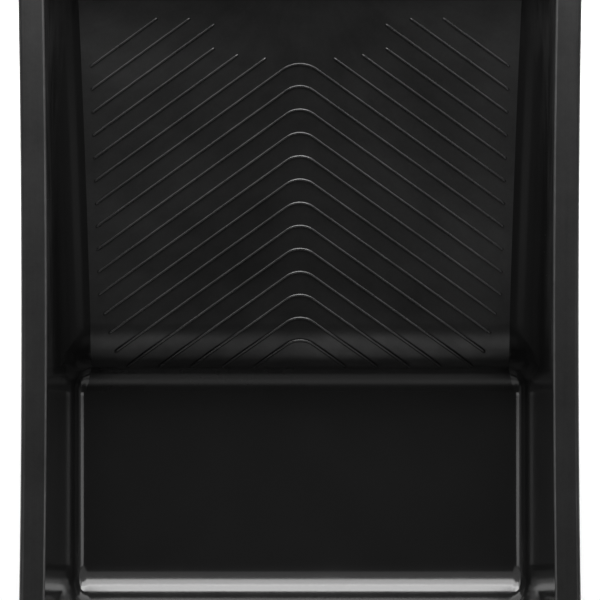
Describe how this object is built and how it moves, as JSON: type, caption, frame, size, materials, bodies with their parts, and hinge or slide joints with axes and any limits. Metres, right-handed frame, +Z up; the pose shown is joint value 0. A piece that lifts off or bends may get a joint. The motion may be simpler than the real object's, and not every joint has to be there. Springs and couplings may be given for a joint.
{
  "type": "paint roller tray",
  "caption": "Black moulded paint roller tray with a deep rectangular well, a sloping deck of chevron ribs, a flat turned-down rim and feet under the shallow end.",
  "frame": {"origin": "on the table, under the middle of the tray's outline", "axes": "+Z up; +Y from the deep well towards the shallow end of the ramp; +X towards the right of a person who stands at the well"},
  "size_m": [0.2928, 0.3722, 0.072],
  "materials": {
    "polished_inside": "polished",
    "satin_deck": "satin",
    "satin_rim": "satin",
    "foot_plastic": "satin"
  },
  "bodies": {
    "root": {"left_foot": "foot_plastic", "left_foot_brace": "foot_plastic", "ramp_deck": "satin_deck", "ramp_end_wall": "polished_inside", "ramp_left_wall": "polished_inside", "ramp_right_wall": "polished_inside", "right_foot": "foot_plastic", "right_foot_brace": "foot_plastic", "rim_back": "satin_rim", "rim_back_left_corner": "satin_rim", "rim_back_right_corner": "satin_rim", "rim_front": "satin_rim", "rim_front_left_corner": "satin_rim", "rim_front_right_corner": "satin_rim", "rim_left": "satin_rim", "rim_right": "satin_rim", "skirt_back": "satin_rim", "skirt_back_left_corner": "satin_rim", "skirt_back_right_corner": "satin_rim", "skirt_front": "satin_rim", "skirt_front_left_corner": "satin_rim", "skirt_front_right_corner": "satin_rim", "skirt_left": "satin_rim", "skirt_right": "satin_rim", "step_face": "polished_inside", "well_floor": "polished_inside", "well_front_wall": "polished_inside", "well_left_wall": "polished_inside", "well_right_wall": "polished_inside"}
  },
  "joints": []
}
